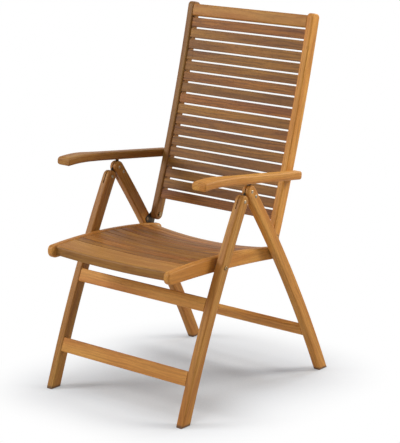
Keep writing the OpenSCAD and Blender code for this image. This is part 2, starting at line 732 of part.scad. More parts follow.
// Armrests: outlines in [distance in front of the hinge, height over the hinge]
arm_half_t = arm_t / 2;
arm_body_l = arm_l - arm_droop_l;
arm_nose_r = 7;
arm_tail_r = 4;
function droop(a) = a < arm_body_l ? 0 : pow(a - arm_body_l, 2) / (2 * arm_droop_r);
arm_tail_x = arm_tail_r - arm_tail;
arm_front_x = arm_l - arm_nose_r;
function arm_a(i) = arm_body_l + (arm_front_x - arm_body_l) * i / end_steps;
function arm_side_outline() = let (drop = droop(arm_front_x), low = arm_half_t - arm_nose_r) concat(
    arc_points([arm_tail_x, arm_half_t - arm_tail_r], arm_tail_r, 90, 180, end_steps),
    arc_points([arm_tail_x, arm_tail_r - arm_half_t], arm_tail_r, 180, 270, end_steps),
    [for (i = [0:end_steps]) [arm_a(i), -arm_half_t - droop(arm_a(i))]],
    arc_points([arm_front_x, -low - drop], arm_nose_r, -90, 0, end_steps),
    arc_points([arm_front_x, low - drop], arm_nose_r, 0, 90, end_steps),
    [for (i = [end_steps:-1:0]) [arm_a(i), arm_half_t - droop(arm_a(i))]]);
// Plan: the share of the nose's extra width at a distance in front of the hinge
arm_taper_end = arm_l - arm_nose_l;
arm_taper_start = arm_taper_end - arm_taper_l;
arm_out = arm_in + arm_w;
nose_in = arm_in - arm_nose_in;
nose_out = nose_in + arm_nose_w;
arm_plan_r = 4;
function taper_a(i) = arm_taper_start + arm_taper_l * i / bow_steps;
function taper_share(i) = (1 - cos(180 * i / bow_steps)) / 2;
function arm_plan_outline() = concat(
    [[arm_in, -arm_tail - over]],
    [for (i = [0:bow_steps]) [arm_in + (nose_in - arm_in) * taper_share(i), taper_a(i)]],
    arc_points([nose_in + arm_plan_r, arm_l - arm_plan_r], arm_plan_r, 180, 90, end_steps),
    arc_points([nose_out - arm_plan_r, arm_l - arm_plan_r], arm_plan_r, 90, 0, end_steps),
    [for (i = [bow_steps:-1:0]) [arm_out + (nose_out - arm_out) * taper_share(i), taper_a(i)]],
    [[arm_out, -arm_tail - over]]);
// Puts a piece on the armrest's hinge: its Y runs back along the armrest and its Z is up
module on_arm() {
    translate([0, arm_hinge.x + y_shift, arm_hinge.y]) rotate([-arm_tilt, 0, 0]) children();
}
tooth_tip = pin_h + rest_pin_r + slide_gap;
notch_top = tooth_tip + tooth_h;
web_gap = 1;
groove_top = notch_top + web_gap + rack_t;
rack_margin = 14;
rack_start = pin_reach - rack_margin;
rack_end = pin_reach + (notch_count - 1) * notch_pitch + rack_margin;
groove_margin = 6;
arm_bolt_bury = 20;
// Blanks larger than an armrest, for its side view and its plan
side_blank = 3 * arm_nose_w;
plan_blank = 4 * arm_t;
module armrest() {
    color(wood_colour) difference() {
        on_arm() intersection() {
            translate([arm_in - arm_nose_w, 0, 0]) rotate([90, 0, 90]) mirror([1, 0, 0])
                linear_extrude(side_blank) polygon(arm_side_outline());
            translate([0, 0, -plan_blank / 2]) mirror([0, 1, 0])
                linear_extrude(plan_blank) polygon(arm_plan_outline());
        }
        on_arm() translate([leg_mid - groove_half, -rack_end - groove_margin, -arm_t])
            cube([2 * groove_half, rack_end - rack_start + 2 * groove_margin, arm_t + groove_top]);
        rod(arm_hinge, arm_bolt_r + run_gap, arm_in - over, arm_in + arm_bolt_bury + slide_gap);
    }
}
module armrest_right() {
    armrest();
}
module armrest_left() {
    left_of() armrest();
}

// A rack is a folded steel channel, open downwards, with notches in both flanges
notch_half = rest_pin_r + 1;
notch_chamfer = 1;
tooth_taper = 2;
rack_notch = [
    [-notch_half, tooth_tip - over], [-notch_half, notch_top - notch_chamfer],
    [-notch_half + notch_chamfer, notch_top], [notch_half - notch_chamfer, notch_top],
    [notch_half, notch_top - notch_chamfer], [notch_half + tooth_taper, tooth_tip - over]];
module armrest_rack() {
    color(steel_colour) on_arm() difference() {
        translate([leg_mid - rack_half, -rack_end, tooth_tip])
            cube([2 * rack_half, rack_end - rack_start, groove_top - tooth_tip]);
        translate([leg_mid - channel_half, -rack_end - over, tooth_tip - over])
            cube([2 * channel_half, rack_end - rack_start + 2 * over,
                  notch_top + web_gap - tooth_tip + over]);
        for (i = [0:notch_count - 1])
            translate([leg_mid - groove_half, -pin_reach - i * notch_pitch, 0]) rotate([90, 0, 90])
                linear_extrude(2 * groove_half) polygon(rack_notch);
    }
}
module armrest_rack_right() {
    armrest_rack();
}
module armrest_rack_left() {
    left_of() armrest_rack();
}

// Armrest hinge: a bolt from inside the stile into the armrest, with a washer between them
module armrest_bolt() {
    color(steel_colour) {
        rod(arm_hinge, arm_bolt_r, stile_in - slide_gap, arm_in + arm_bolt_bury);
        bolt_head(arm_hinge, stile_in - slide_gap, arm_bolt_r + arm_head_edge, -1);
        rod(arm_hinge, arm_bolt_r + arm_washer_edge, stile_out + slide_gap, arm_in - slide_gap);
    }
}
module armrest_bolt_right() {
    armrest_bolt();
}
module armrest_bolt_left() {
    left_of() armrest_bolt();
}

rear_leg_left();
rear_leg_right();
rear_stretcher();
apex_plate_left();
apex_plate_right();
plate_rivets();
front_pivot_rivets();
rest_pins();
seat_pivot_bolts();
seat_spacers();
back_bracket_left();
back_bracket_right();
bracket_screws();
front_leg_left();
front_leg_right();
front_stretcher_lower();
front_stretcher_upper();
seat_catch_pins();
seat_rail_left();
seat_rail_right();
seat_front_slat();
seat_slat_1();
seat_slat_2();
seat_slat_3();
seat_slat_4();
seat_slat_5();
seat_slat_6();
seat_slat_7();
seat_slat_8();
seat_slat_9();
seat_slat_10();
seat_slat_11();
back_pivot_bolts();
stile_left();
stile_right();
back_top_rail();
back_slat_1();
back_slat_2();
back_slat_3();
back_slat_4();
back_slat_5();
back_slat_6();
back_slat_7();
back_slat_8();
back_slat_9();
back_slat_10();
back_slat_11();
back_slat_12();
back_slat_13();
back_slat_14();
back_slat_15();
back_slat_16();
back_slat_17();
armrest_left();
armrest_right();
armrest_rack_left();
armrest_rack_right();
armrest_bolt_left();
armrest_bolt_right();
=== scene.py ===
"""The folding reclining garden chair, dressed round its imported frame: oiled hardwood and plated steel."""
import json
import random
from math import cos, pi, radians, sin, sqrt
from typing import NamedTuple

import bmesh
import bpy
import numpy as np
from mathutils import Matrix, Vector


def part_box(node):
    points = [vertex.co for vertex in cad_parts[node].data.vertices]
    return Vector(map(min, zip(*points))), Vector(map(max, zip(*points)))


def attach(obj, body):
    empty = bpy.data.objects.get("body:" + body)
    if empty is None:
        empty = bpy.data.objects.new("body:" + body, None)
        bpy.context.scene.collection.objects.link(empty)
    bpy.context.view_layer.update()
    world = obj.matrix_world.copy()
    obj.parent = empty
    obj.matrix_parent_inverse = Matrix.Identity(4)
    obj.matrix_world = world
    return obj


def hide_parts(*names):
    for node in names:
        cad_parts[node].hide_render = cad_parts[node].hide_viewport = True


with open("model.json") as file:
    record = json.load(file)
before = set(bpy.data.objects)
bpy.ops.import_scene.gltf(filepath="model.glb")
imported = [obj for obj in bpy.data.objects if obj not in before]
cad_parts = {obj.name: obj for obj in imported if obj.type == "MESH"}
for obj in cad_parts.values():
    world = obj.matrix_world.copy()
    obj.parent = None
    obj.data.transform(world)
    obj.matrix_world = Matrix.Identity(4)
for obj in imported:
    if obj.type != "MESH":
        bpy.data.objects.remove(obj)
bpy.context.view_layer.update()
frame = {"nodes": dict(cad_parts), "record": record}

MM = 0.001
NODES = frame["nodes"]
BODY_OF = {node: body for body, nodes in frame["record"]["behaviour"]["bodies"].items() for node in nodes}


def numbered(name, count):
    return [f"{name}_{i}" for i in range(1, count + 1)]


def both(name):
    return [f"{name}_left", f"{name}_right"]


def middle_of(node):
    return sum(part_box(node), Vector()) / 2


# The photograph's frame and the camera's place in it
PHOTO_W = 400
FOCUS_PX = 1684.34
CENTRE_SHIFT_X_PX = -3.75
CENTRE_SHIFT_Y_PX = 22.03
CAMERA_AT = Vector((3.1583, -3.7514, 1.7309))
CAMERA_AZIMUTH = radians(39.53)
CAMERA_ELEVATION = radians(14.88)
CAMERA_ROLL = radians(0.21)
SENSOR_W = 36
CLIP_END = 100


def set_camera():
    data = bpy.data.cameras.new("photo_camera")
    camera = bpy.data.objects.new("photo_camera", data)
    bpy.context.scene.collection.objects.link(camera)
    back = Vector((sin(CAMERA_AZIMUTH) * cos(CAMERA_ELEVATION),
                   -cos(CAMERA_AZIMUTH) * cos(CAMERA_ELEVATION),
                   sin(CAMERA_ELEVATION)))
    right = Vector((cos(CAMERA_AZIMUTH), sin(CAMERA_AZIMUTH), 0))
    up = back.cross(right)
    rolled_right = right * cos(CAMERA_ROLL) + up * sin(CAMERA_ROLL)
    rolled_up = up * cos(CAMERA_ROLL) - right * sin(CAMERA_ROLL)
    turn = Matrix((rolled_right, rolled_up, back)).transposed()
    camera.matrix_world = Matrix.Translation(CAMERA_AT) @ turn.to_4x4()
    data.sensor_fit = "HORIZONTAL"
    data.sensor_width = SENSOR_W
    data.lens = FOCUS_PX / PHOTO_W * SENSOR_W
    data.shift_x = CENTRE_SHIFT_X_PX / PHOTO_W
    data.shift_y = CENTRE_SHIFT_Y_PX / PHOTO_W
    data.clip_end = CLIP_END
    bpy.context.scene.camera = camera


set_camera()
bpy.context.scene.view_settings.view_transform = "Standard"


# Shader maths as expressions
class Signal:
    """An output socket in a node tree: a number, unless it is named as a colour or a vector."""

    def __init__(self, graph, socket):
        self.graph = graph
        self.socket = socket

    def maths(self, operation, *values):
        inputs = dict(enumerate(values))
        return self.graph.node("ShaderNodeMath", {"operation": operation}, inputs)

    def __add__(self, other):
        return self.maths("ADD", self, other)

    def __sub__(self, other):
        return self.maths("SUBTRACT", self, other)

    def __rsub__(self, other):
        return self.maths("SUBTRACT", other, self)

    def __mul__(self, other):
        return self.maths("MULTIPLY", self, other)

    def __truediv__(self, other):
        return self.maths("DIVIDE", self, other)

    def __pow__(self, other):
        return self.maths("POWER", self, other)

    def __abs__(self):
        return self.maths("ABSOLUTE", self)

    def fraction(self):
        return self.maths("FRACT", self)

    def larger(self, other):
        return self.maths("MAXIMUM", self, other)

    __radd__ = __add__
    __rmul__ = __mul__


class Layer(NamedTuple):
    """A noise in a surface: its features to the metre along each axis, its detail and roughness,
    the values between which it fades in, and how strongly it then shows."""
    features: tuple
    detail: float
    roughness: float
    starts: float = 0.0
    full: float = 1.0
    share: float = 1.0


class Graph:
    """The node tree of one material, or of the world."""

    def __init__(self, owner):
        owner.use_nodes = True
        self.tree = owner.node_tree
        self.tree.nodes.clear()

    def node(self, kind, settings=None, inputs=None, output=0):
        """Adds a node: its settings first, then its sockets, each a value or a link.
        Gives the output asked for, of a node that has any."""
        new = self.tree.nodes.new(kind)
        for name, value in (settings or {}).items():
            setattr(new, name, value)
        for name, value in (inputs or {}).items():
            if isinstance(value, Signal):
                self.tree.links.new(value.socket, new.inputs[name])
            else:
                new.inputs[name].default_value = value
        return Signal(self, new.outputs[output]) if len(new.outputs) else None

    def parts(self, vector):
        split = self.node("ShaderNodeSeparateXYZ", {}, {0: vector})
        return [Signal(self, axis) for axis in split.socket.node.outputs]

    def channels(self, red, green, blue):
        return self.node("ShaderNodeCombineColor", {}, {0: red, 1: green, 2: blue})

    def noise(self, vector, layer):
        """Soft noise from 0 to 1, in the layer's own grain."""
        times = {"operation": "MULTIPLY"}
        stretched = self.node("ShaderNodeVectorMath", times, {0: vector, 1: layer.features})
        inputs = {"Vector": stretched, "Scale": 1.0, "Detail": layer.detail, "Roughness": layer.roughness}
        return self.node("ShaderNodeTexNoise", {}, inputs)

    def between(self, value, low, high):
        """0 where value is low, 1 where it is high, and clamped."""
        settings = {"interpolation_type": "SMOOTHSTEP", "clamp": True}
        inputs = {"Value": value, "From Min": low, "From Max": high}
        return self.node("ShaderNodeMapRange", settings, inputs)

    def shown(self, noise, layer):
        """How strongly a layer shows where its noise has this value."""
        return self.between(noise, layer.starts, layer.full) * layer.share

    def mix(self, factor, a, b, blend="MIX"):
        settings = {"data_type": "RGBA", "blend_type": blend, "clamp_factor": True}
        return self.node("ShaderNodeMix", settings, {0: factor, 6: a, 7: b}, output=2)

    def bump(self, height, strength, distance):
        inputs = {"Height": height, "Strength": strength, "Distance": distance}
        return self.node("ShaderNodeBump", {}, inputs)

    def seen(self):
        """1 for the rays that show a surface to the camera, straight or in metal, and 0 for all others."""
        rays = [self.node("ShaderNodeLightPath", output=f"Is {kind} Ray")
                for kind in ("Camera", "Glossy", "Transmission")]
        return rays[0].larger(rays[1]).larger(rays[2])


def srgb(red, green, blue):
    """A colour written as on a screen, 0 to 255, in Blender's linear values."""
    def linear(part):
        part /= 255
        return part / 12.92 if part <= 0.04045 else ((part + 0.055) / 1.055) ** 2.4
    return (linear(red), linear(green), linear(blue), 1)


COAT_ROUGHNESS = 0.3


def principled(graph, colour, roughness, normal, metallic=0.0, coat=0.0, gloss=0.5):
    inputs = {"Base Color": colour, "Roughness": roughness, "Normal": normal, "Metallic": metallic,
              "Specular IOR Level": gloss, "Coat Weight": coat, "Coat Roughness": COAT_ROUGHNESS}
    shader = graph.node("ShaderNodeBsdfPrincipled", {}, inputs)
    graph.node("ShaderNodeOutputMaterial", {}, {"Surface": shader})


# Wood: the grain attribute is a place in the plank, along, across and through it, in metres.
# The tint attribute is the wood's shade, where 1 leaves it as bright as it is, and its warmth,
# from gold at 0 to red at 1. On some pieces the shade holds painted shade besides the wood's own tone.
# A rise is how far a layer stands up in the bump
BANDS = Layer((2.6, 34, 34), 2, 0.5, 0.3, 0.7)
WANDER = Layer((5, 22, 22), 3, 0.6, 0.25, 0.6)
PATCHES = Layer((6, 16, 16), 2, 0.5, 0.45, 0.7, 0.35)
STREAKS = Layer((7, 190, 190), 4, 0.62, 0.42, 0.72)
FIBRES = Layer((45, 1300, 1300), 3, 0.6, 0.45, 0.75, 0.25)
PORES = Layer((90, 2600, 2600), 1, 0.5, 0.63, 0.72)
PORE_SHARE = 0.6
RING_WIDTH = 6.5 * MM
RING_WANDER = 3.4
PITH = (21 * MM, 34 * MM)
LATE_WOOD = (0.35, 0.9)
EVEN_WARMTH = 0.5
WARMTH_SHARE = 0.8
FIBRE_RISE = 0.5
STREAK_RISE = 0.8
LATE_RISE = 0.35
PORE_SINK = 1.2
WOOD_BUMP = (0.35, 0.4 * MM)
WOOD_ROUGHNESS = 0.46
STREAK_ROUGHNESS = 0.16
PORE_ROUGHNESS = 0.2
OIL_COAT = 0.04
OIL_GLOSS = 0.26
# The feet grow darker towards the bottom: the darkening starts at the first height over the floor
# and is full at the second
FOOT_DARKENING = (15 * MM, 6 * MM)
FOOT_DARKENING_RAGGED = 6 * MM
FOOT_DARKENING_SHARE = 0.8
FOOT_DARK_COLOUR = srgb(74, 56, 42)


def make_wood(name, pale, deep, line, red, gold, figure):
    """Oiled hardwood. pale and deep are its broad tones, line its late wood, red and gold its leanings,
    and figure is how much its rings and streaks stand out."""
    material = bpy.data.materials.new(name)
    g = Graph(material)
    grain = g.node("ShaderNodeAttribute", {"attribute_name": "grain"}, output="Vector")
    tint = g.node("ShaderNodeAttribute", {"attribute_name": "tint"}, output="Vector")
    place = g.node("ShaderNodeTexCoord", output="Object")
    shade, warmth = g.parts(tint)[:2]
    across, through = g.parts(grain)[1:]
    over_floor = g.parts(place)[2]

    bands, wander, patches, streaks, fibres = [
        g.noise(grain, layer) for layer in (BANDS, WANDER, PATCHES, STREAKS, FIBRES)]
    pores = g.shown(g.noise(grain, PORES), PORES)
    from_pith = ((across + PITH[0]) ** 2.0 + (through + PITH[1]) ** 2.0) ** 0.5
    ring = (from_pith / RING_WIDTH + wander * RING_WANDER).fraction()
    late = g.between(ring, *LATE_WOOD) * (1 - g.between(ring, LATE_WOOD[1], 1.0))

    colour = g.mix(g.shown(bands, BANDS), pale, deep)
    colour = g.mix(late * figure * g.shown(wander, WANDER), colour, line)
    colour = g.mix(g.shown(streaks, STREAKS) * figure, colour, line)
    colour = g.mix(g.shown(patches, PATCHES), colour, red, "MULTIPLY")
    colour = g.mix(g.between(warmth, EVEN_WARMTH, 1.0) * WARMTH_SHARE, colour, red, "MULTIPLY")
    colour = g.mix(g.between(warmth, EVEN_WARMTH, 0.0) * WARMTH_SHARE, colour, gold, "MULTIPLY")
    colour = g.mix(g.shown(fibres, FIBRES), colour, line)
    colour = g.mix(pores * PORE_SHARE, colour, line)
    colour = g.mix(1.0, colour, g.channels(shade, shade, shade), "MULTIPLY")
    # Darker towards the floor, over the feet's lowest millimetres
    foot_darkening = g.between(over_floor + streaks * FOOT_DARKENING_RAGGED, *FOOT_DARKENING) * FOOT_DARKENING_SHARE
    colour = g.mix(foot_darkening, colour, FOOT_DARK_COLOUR)

    height = fibres * FIBRE_RISE + streaks * STREAK_RISE + late * LATE_RISE - pores * PORE_SINK
    roughness = WOOD_ROUGHNESS + streaks * STREAK_ROUGHNESS + pores * PORE_ROUGHNESS
    principled(g, colour, roughness, g.bump(height, *WOOD_BUMP), coat=OIL_COAT, gloss=OIL_GLOSS)
    return material


# Steel: bright plating, plating gone brown, and plates dulled to a dark warm grey, darkened partly as
# painted shade, for they sit in shade under the armrests and between the leg tops
STEEL_PATCHES = Layer((90, 90, 90), 3, 0.6, 0.35, 0.7)
SPECKLE = Layer((1500, 1500, 1500), 2, 0.5, 0.55, 0.75, 0.25)
SCRATCHES = Layer((260, 900, 2600), 3, 0.6)
SPECKLE_RISE = 0.3
PATCH_ROUGHNESS = 0.18
STEEL_BUMP = (0.2, 0.2 * MM)


def make_steel(name, bright, dull, roughness, scratch):
    material = bpy.data.materials.new(name)
    g = Graph(material)
    place = g.node("ShaderNodeTexCoord", output="Object")
    patches, speckle, scratches = [g.noise(place, layer) for layer in (STEEL_PATCHES, SPECKLE, SCRATCHES)]
    colour = g.mix(g.shown(patches, STEEL_PATCHES), bright, dull)
    colour = g.mix(g.shown(speckle, SPECKLE), colour, dull)
    normal = g.bump(scratches * scratch + speckle * SPECKLE_RISE, *STEEL_BUMP)
    principled(g, colour, roughness + patches * PATCH_ROUGHNESS, normal, metallic=1.0)
    return material


FRAME_WOOD = make_wood("oiled_frame_wood", pale=srgb(222, 162, 78), deep=srgb(198, 131, 56),
                       line=srgb(134, 76, 28), red=(1.0, 0.84, 0.74, 1), gold=(0.97, 1.0, 0.82, 1),
                       figure=0.3)
SLAT_WOOD = make_wood("oiled_slat_wood", pale=srgb(190, 130, 45), deep=srgb(149, 94, 31),
                      line=srgb(84, 47, 17), red=(1.0, 0.78, 0.66, 1), gold=(0.98, 1.0, 0.78, 1),
                      figure=0.47)
PLATED = make_steel("plated_steel", bright=(0.45, 0.37, 0.25, 1), dull=(0.23, 0.18, 0.12, 1),
                    roughness=0.28, scratch=0.4)
BROWNED = make_steel("browned_steel", bright=(0.36, 0.24, 0.12, 1), dull=(0.2, 0.13, 0.065, 1),
                     roughness=0.36, scratch=0.4)
# The plates' dark colour is partly dull steel and partly painted shade
DULL_AND_SHADE_DARKENED = make_steel("dull_and_shade_darkened_plate_steel", bright=(0.1, 0.08, 0.06, 1), dull=(0.045, 0.036, 0.028, 1),
                    roughness=0.45, scratch=1.0)


def deselect():
    bpy.ops.object.select_all(action="DESELECT")


def activate(piece):
    deselect()
    piece.select_set(True)
    bpy.context.view_layer.objects.active = piece


def edit(piece):
    activate(piece)
    bpy.ops.object.mode_set(mode="EDIT")


def leave_edit():
    bpy.ops.object.mode_set(mode="OBJECT")


def apply_place(piece):
    activate(piece)
    bpy.ops.object.transform_apply(location=True, rotation=True, scale=True)


def turn_outwards(piece):
    """Recalculates which way the faces point."""
    edit(piece)
    bpy.ops.mesh.select_all(action="SELECT")
    bpy.ops.mesh.normals_make_consistent(inside=False)
    leave_edit()


def pick_edges(piece, wanted):
    """In edit mode, selects the edges that wanted gives from the mesh's own."""
    bpy.ops.mesh.select_mode(type="EDGE")
    bpy.ops.mesh.select_all(action="DESELECT")
    mesh = bmesh.from_edit_mesh(piece.data)
    for edge in wanted(mesh):
        edge.select_set(True)
    bmesh.update_edit_mesh(piece.data)


TOUCH = 0.02 * MM
MERGE = 0.01 * MM
FLAT = radians(0.25)
CREASE = radians(30)


def is_crease(edge):
    return len(edge.link_faces) == 2 and edge.is_convex and edge.calc_face_angle() > CREASE


def creases(mesh):
    return [edge for edge in mesh.edges if is_crease(edge)]


def extent(group):
    """How far a group of edges reaches, along X, Y and Z together."""
    places = np.array([v.co for e in group for v in e.verts])
    return np.ptp(places, axis=0).sum()


def edge_loops(edges):
    """The groups of joined edges, the one that reaches furthest first."""
    edges = set(edges)
    groups = []
    while edges:
        group = {edges.pop()}
        border = set(group)
        while border:
            near = {e for b in border for v in b.verts for e in v.link_edges if e in edges}
            edges -= near
            group |= near
            border = near
        groups.append(group)
    return sorted(groups, key=extent, reverse=True)


def in_plane(element, side):
    return all(abs(v.co.x - side) < TOUCH for v in element.verts)


def side_loops(mesh):
    """For each of a sawn bar's two side faces, which lie square to X: its place, and its loops of edges."""
    across = [v.co.x for v in mesh.verts]
    sides = (min(across), max(across))
    return [(side, edge_loops(e for e in creases(mesh) if in_plane(e, side))) for side in sides]


def rim_edges(mesh, left_out=lambda edge: False):
    """The outer edges of a sawn bar's two side faces."""
    return [e for _, loops in side_loops(mesh) for e in loops[0] if not left_out(e)]


MORTISE_EXTENT = 24 * MM


def socket_walls(rim, side):
    """The faces inside a rim, from the rim down to the socket's floor."""
    walls = {f for e in rim for f in e.link_faces if not in_plane(f, side)}
    border = set(walls)
    while border:
        near = {f for b in border for e in b.edges if e not in rim for f in e.link_faces}
        border = near - walls
        walls |= border
    return walls


def close_mortises(piece):
    """Closes the sockets in a bar's side faces, which the other pieces' tenons fill.
    The bolt holes are narrower, and stay."""
    edit(piece)
    bpy.ops.mesh.select_mode(type="FACE")
    bpy.ops.mesh.select_all(action="DESELECT")
    mesh = bmesh.from_edit_mesh(piece.data)
    sockets = [(rim, side) for side, loops in side_loops(mesh) for rim in loops[1:]
               if extent(rim) >= MORTISE_EXTENT]
    for rim, side in sockets:
        for face in socket_walls(rim, side):
            face.select_set(True)
    bmesh.update_edit_mesh(piece.data)
    bpy.ops.mesh.delete(type="FACE")
    for _ in sockets:
        pick_edges(piece, lambda mesh: edge_loops(e for e in mesh.edges if e.is_boundary)[0])
        bpy.ops.mesh.edge_face_add()
    bpy.ops.mesh.select_all(action="SELECT")
    bpy.ops.mesh.dissolve_limited(angle_limit=FLAT)
    leave_edit()


MOSTLY = 0.9


def edges_across(half_w):
    """Gives a function that finds a mesh's creases that run across the chair, within half_w of its middle,
    and so between two uprights, without those of the tenons."""
    def runs(edge):
        a, b = (v.co for v in edge.verts)
        inside = max(abs(a.x), abs(b.x)) < half_w + TOUCH
        return inside and abs(a.x - b.x) > MOSTLY * (a - b).length
    return lambda mesh: [e for e in creases(mesh) if runs(e)]


def cad_copy(node, name):
    """A merged copy of a node's mesh, with flat faces joined, as a new object."""
    piece = bpy.data.objects.new(name, NODES[node].data.copy())
    bpy.context.scene.collection.objects.link(piece)
    piece.data.materials.clear()
    activate(piece)
    bpy.ops.mesh.customdata_custom_splitnormals_clear()
    edit(piece)
    bpy.ops.mesh.select_all(action="SELECT")
    bpy.ops.mesh.remove_doubles(threshold=MERGE)
    bpy.ops.mesh.dissolve_limited(angle_limit=FLAT)
    leave_edit()
    return piece


def round_edges(piece, wanted, radius, segments=4, clamp=False):
    edit(piece)
    pick_edges(piece, wanted)
    bpy.ops.mesh.bevel(offset=radius, offset_type="OFFSET", segments=segments, affect="EDGES",
                       clamp_overlap=clamp)
    leave_edit()


def apply_modifier(piece, name, kind, **settings):
    activate(piece)
    modifier = piece.modifiers.new(name, kind)
    for key, value in settings.items():
        setattr(modifier, key, value)
    bpy.ops.object.modifier_apply(modifier=modifier.name)


SMOOTH_ANGLE = radians(38)


def smooth(piece, angle=SMOOTH_ANGLE):
    activate(piece)
    bpy.ops.object.shade_smooth_by_angle(angle=angle)
    apply_modifier(piece, "even_normals", "WEIGHTED_NORMAL", keep_sharp=True)


def cut(piece, cutter):
    apply_modifier(piece, "cut", "BOOLEAN", operation="DIFFERENCE", object=cutter, solver="EXACT")
    bpy.data.objects.remove(cutter, do_unlink=True)


RNG = random.Random(17)
PLANK_SHIFT = 9
PLANK_OFF_CENTRE = 20 * MM


def lay_grain(piece, shade, warmth, face_up):
    """Writes the plank coordinates and the tint that the wood reads: the grain runs the long way.
    face_up turns the plank's own top upwards, where the order of the vertices leaves that to chance."""
    places = np.array([v.co for v in piece.data.vertices])
    middle = (places.min(axis=0) + places.max(axis=0)) / 2
    spread = places - places.mean(axis=0)
    axes = np.linalg.svd(spread, full_matrices=False)[2]
    if face_up and axes[2][2] < 0:
        axes[1:] *= -1
    offset = np.array([RNG.uniform(0, PLANK_SHIFT), RNG.uniform(-PLANK_OFF_CENTRE, PLANK_OFF_CENTRE),
                       RNG.uniform(-PLANK_OFF_CENTRE, PLANK_OFF_CENTRE)])
    grain = (places - middle) @ axes.T + offset
    tint = np.tile([shade, warmth, 0.0], (len(places), 1))
    for name, values in (("grain", grain), ("tint", tint)):
        attribute = piece.data.attributes.new(name, "FLOAT_VECTOR", "POINT")
        attribute.data.foreach_set("vector", values.astype(np.float32).ravel())


def dress(piece, node, material):
    piece.data.materials.append(material)
    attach(piece, BODY_OF[node])
    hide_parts(node)


def finish_wood(piece, node, material, shade, warmth, face_up=False):
    smooth(piece)
    lay_grain(piece, shade, warmth, face_up)
    dress(piece, node, material)


def timber(node, rounds, shade, warmth, material=FRAME_WOOD, mortised=False):
    """A wooden piece made from its node: its edges rounded, each set to its radius, and finished."""
    piece = cad_copy(node, f"{node}_timber")
    if mortised:
        close_mortises(piece)
    for wanted, radius in rounds:
        round_edges(piece, wanted, radius)
    finish_wood(piece, node, material, shade, warmth)
    return piece


# Legs, stiles, rails and stretchers: each piece's shade and warmth. The shades are partly the wood's own
# tone
# and partly painted shade: the left-hand legs and stile are darker because the light fell from the right
LEG_ROUND = 5 * MM
STRETCHER_ROUND = 3.5 * MM
TOP_RAIL_ROUND = 5 * MM
LEG_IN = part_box("rear_leg_right")[0].x
STILE_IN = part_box("stile_right")[0].x
RAIL_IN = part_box("seat_rail_right")[0].x
CATCH_PIN = middle_of("seat_catch_pins")
NOTCH_REACH = 40 * MM
NOTCH_STEEPNESS = 0.3
UPRIGHTS = {
    "rear_leg_left": (0.72, 0.5), "rear_leg_right": (0.94, 0.68),
    "front_leg_left": (0.64, 0.55), "front_leg_right": (0.8, 0.5),
    "stile_left": (0.4, 0.6), "stile_right": (1.06, 0.52),
}
RAILS = {"seat_rail_left": (0.88, 0.45), "seat_rail_right": (0.98, 0.45)}
STRETCHERS = {"rear_stretcher": (1.0, 0.55), "front_stretcher_lower": (0.95, 0.68),
              "front_stretcher_upper": (1.08, 0.6)}
TOP_RAIL_TONE = (0.72, 0.5)


def near_catch(edge):
    """A steep edge of the notch that drops over the catch pin, under the rail."""
    middle = (edge.verts[0].co + edge.verts[1].co) / 2
    off_pin = Vector((0, middle.y - CATCH_PIN.y, middle.z - CATCH_PIN.z))
    along = edge.verts[0].co - edge.verts[1].co
    return off_pin.length < NOTCH_REACH and abs(along.z) > NOTCH_STEEPNESS * along.length


for node, tone in UPRIGHTS.items():
    timber(node, [(rim_edges, LEG_ROUND)], *tone, mortised=True)
for node, tone in RAILS.items():
    timber(node, [(lambda mesh: rim_edges(mesh, near_catch), LEG_ROUND)], *tone, mortised=True)
for node, tone in STRETCHERS.items():
    timber(node, [(edges_across(LEG_IN), STRETCHER_ROUND)], *tone)
timber("back_top_rail", [(edges_across(STILE_IN), TOP_RAIL_ROUND)], *TOP_RAIL_TONE)

# Slats: those of the back grow paler from the first to the last, and each varies by itself
BACK_SLATS = numbered("back_slat", 17)
SEAT_SLATS = numbered("seat_slat", 11)
SLAT_ROUND = 1.6 * MM
BACK_SHADES = np.linspace(0.62, 0.75, len(BACK_SLATS))
BACK_SHADE_SPREAD = (0.88, 1.12)
BACK_WARMTH = (0.15, 0.95)
SEAT_SHADE = (0.7, 1.14)
SEAT_WARMTH = (0.1, 0.85)

for node, shade in zip(BACK_SLATS, BACK_SHADES):
    timber(node, [(edges_across(STILE_IN), SLAT_ROUND)],
           shade * RNG.uniform(*BACK_SHADE_SPREAD), RNG.uniform(*BACK_WARMTH), SLAT_WOOD)
for node in SEAT_SLATS:
    timber(node, [(edges_across(RAIL_IN), SLAT_ROUND)],
           RNG.uniform(*SEAT_SHADE), RNG.uniform(*SEAT_WARMTH), SLAT_WOOD)

# The seat's front slat, whose upright face, the apron, is darker and redder than its top: the darkness is
# painted shade on the faces that point forward, away from the light from above, and the redness is its tone
FRONT_EDGE_ROUND = 8 * MM
FOREMOST = 2 * MM
FRONT_SLAT_TONE = (0.72, 0.48)
APRON_PAINTED_SHADE_TONE = (0.46, 0.68)
APRON_NORMAL_Y = -0.6


def front_top(mesh):
    """The seat's leading edge: the front slat's highest crease among the foremost."""
    runs = edges_across(RAIL_IN)(mesh)
    front = min(v.co.y for e in runs for v in e.verts)
    foremost = [e for e in runs if e.verts[0].co.y < front + FOREMOST]
    middle = sum(v.co.z for e in foremost for v in e.verts) / (2 * len(foremost))
    return [e for e in foremost if e.verts[0].co.z > middle]


def paint_apron_shade(piece):
    # Painted shade: the vertices that face forward get a darker and redder tint than the top
    tint = piece.data.attributes["tint"].data
    for vertex in piece.data.vertices:
        if vertex.normal.y < APRON_NORMAL_Y:
            tint[vertex.index].vector = (*APRON_PAINTED_SHADE_TONE, 0)


FRONT_SLAT_ROUNDS = [(front_top, FRONT_EDGE_ROUND), (edges_across(RAIL_IN), SLAT_ROUND)]
paint_apron_shade(timber("seat_front_slat", FRONT_SLAT_ROUNDS, *FRONT_SLAT_TONE))

